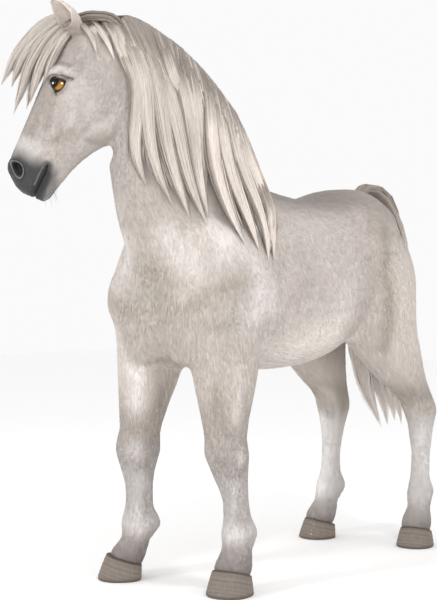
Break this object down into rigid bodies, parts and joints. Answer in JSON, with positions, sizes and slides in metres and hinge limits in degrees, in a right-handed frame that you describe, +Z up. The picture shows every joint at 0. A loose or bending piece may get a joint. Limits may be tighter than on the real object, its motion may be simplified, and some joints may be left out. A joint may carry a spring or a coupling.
{
  "type": "horse",
  "caption": "Stocky pale grey pony standing on four hooves, head turned to its right, long mane on the left of the neck, thick forelock and full tail.",
  "frame": {"origin": "on the floor, under the centre of the bounding box", "axes": "+Z up; the body faces -Y, so its left side is +X; the head is turned towards -X"},
  "size_m": [0.719, 1.7454, 1.9048],
  "materials": {
    "coat": "short soft coat",
    "hair": "long coarse hair",
    "eye": "wet and glossy",
    "hoof": "dull horn"
  },
  "bodies": {
    "root": {"head": "coat", "neck": "coat", "trunk": "coat", "foreleg_left": "coat", "foreleg_right": "coat", "hindleg_left": "coat", "hindleg_right": "coat", "ear_left": "coat", "ear_right": "coat", "mane": "hair", "forelock": "hair", "tail": "hair", "eye_left": "eye", "eye_right": "eye", "hoof_fore_left": "hoof", "hoof_fore_right": "hoof", "hoof_hind_left": "hoof", "hoof_hind_right": "hoof"}
  },
  "joints": []
}
